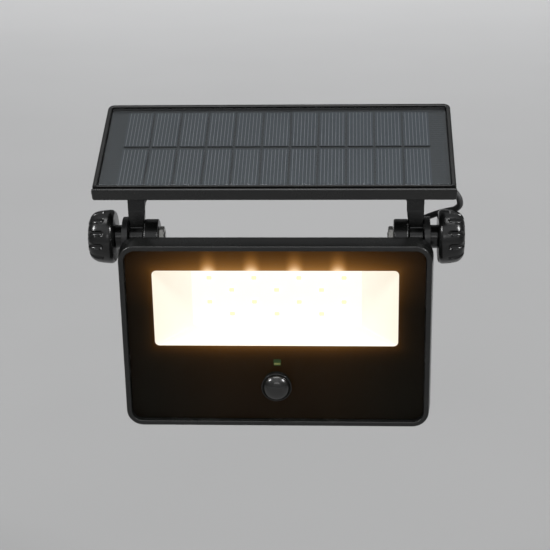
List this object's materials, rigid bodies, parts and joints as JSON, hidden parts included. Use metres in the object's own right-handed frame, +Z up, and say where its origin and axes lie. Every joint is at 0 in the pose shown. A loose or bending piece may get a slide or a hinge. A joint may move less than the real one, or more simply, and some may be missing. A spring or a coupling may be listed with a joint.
{
  "type": "solar flood light",
  "caption": "Wall-mounted solar flood light: tilting panel and tilting lamp head with motion sensor on one hinge line, clamped by two hand knobs.",
  "frame": {"origin": "centre of the flat back face of the wall plate, where it meets the wall", "axes": "+X to the right of somebody facing the lamp, +Y into the wall, +Z up"},
  "size_m": [0.206, 0.0904, 0.1695],
  "materials": {
    "bracket_paint": "satin black powder coat",
    "knob_plastic": "satin black moulded plastic",
    "black_plastic": "fine-textured satin black moulded plastic",
    "steel": "zinc-plated steel",
    "rubber": "matt black rubber",
    "lead_jacket": "black cable jacket, slight sheen",
    "silicon": "dark blue-grey crystalline silicon with silver fingers",
    "clear_sheet": "clear glossy cover sheet",
    "lens_glass": "glossy glass, printed black round a clear window",
    "sensor_lens": "smoked glossy dome",
    "reflector_white": "white moulded reflector, lit from the LEDs",
    "led_board_white": "white solder mask with lit warm LEDs",
    "green_board": "green circuit board",
    "component_black": "black electronic component",
    "component_white": "cream moulded component",
    "cell_wrap": "blue shrink-wrapped battery cell"
  },
  "bodies": {
    "wall_mount": {"wall_bracket": "bracket_paint"},
    "right_clamp": {"right_knob": "knob_plastic", "right_clamp_bolt": "steel"},
    "left_clamp": {"left_knob": "knob_plastic", "left_clamp_bolt": "steel"},
    "panel": {"panel_frame": "black_plastic", "solar_backing_board": "green_board", "solar_cells": "silicon", "solar_cover_sheet": "clear_sheet", "panel_back_cover": "black_plastic", "panel_screw_1": "steel", "panel_screw_2": "steel", "panel_screw_3": "steel", "panel_screw_4": "steel", "right_panel_arm": "black_plastic", "left_panel_arm": "black_plastic", "panel_lead_gland": "rubber", "lead_panel_side": "lead_jacket"},
    "lamp_head": {"front_bezel": "black_plastic", "front_glass": "lens_glass", "glass_gasket": "rubber", "reflector": "reflector_white", "led_board": "led_board_white", "motion_sensor_collar": "black_plastic", "motion_sensor_lens": "sensor_lens", "motion_sensor": "steel", "sensor_board": "green_board", "daylight_sensor": "component_white", "control_board": "green_board", "charge_inductor": "component_black", "controller_chip": "component_black", "battery_connector": "component_white", "panel_connector": "component_white", "smoothing_capacitor": "component_black", "mode_switch": "component_black", "battery_cell": "cell_wrap", "battery_holder": "component_black", "rear_housing": "black_plastic", "housing_screw_1": "steel", "housing_screw_2": "steel", "housing_screw_3": "steel", "housing_screw_4": "steel", "housing_screw_5": "steel", "housing_screw_6": "steel", "lamp_lead_gland": "rubber", "right_lock_nut": "steel", "left_lock_nut": "steel", "lead_lamp_side": "lead_jacket"},
    "mode_key": {"mode_button": "rubber"}
  },
  "joints": [
    {"name": "lamp_tilt", "type": "hinge", "parent": "wall_mount", "child": "lamp_head", "pos_m": [0, -0.062, 0.044], "axis": [1, 0, 0], "range_deg": [-45, 30], "deforming": ["lead_lamp_side"]},
    {"name": "panel_tilt", "type": "hinge", "parent": "wall_mount", "child": "panel", "pos_m": [0, -0.062, 0.044], "axis": [1, 0, 0], "range_deg": [-11, 48], "deforming": ["lead_panel_side"]},
    {"name": "right_knob_turn", "type": "hinge", "parent": "wall_mount", "child": "right_clamp", "pos_m": [0.09, -0.062, 0.044], "axis": [1, 0, 0], "continuous": true},
    {"name": "left_knob_turn", "type": "hinge", "parent": "wall_mount", "child": "left_clamp", "pos_m": [-0.09, -0.062, 0.044], "axis": [-1, 0, 0], "continuous": true},
    {"name": "mode_button_press", "type": "slide", "parent": "lamp_head", "child": "mode_key", "axis": [0, -1, 0], "range_m": [0, 0.001], "stiffness_N_per_m": 900, "springref_m": -0.0002}
  ]
}
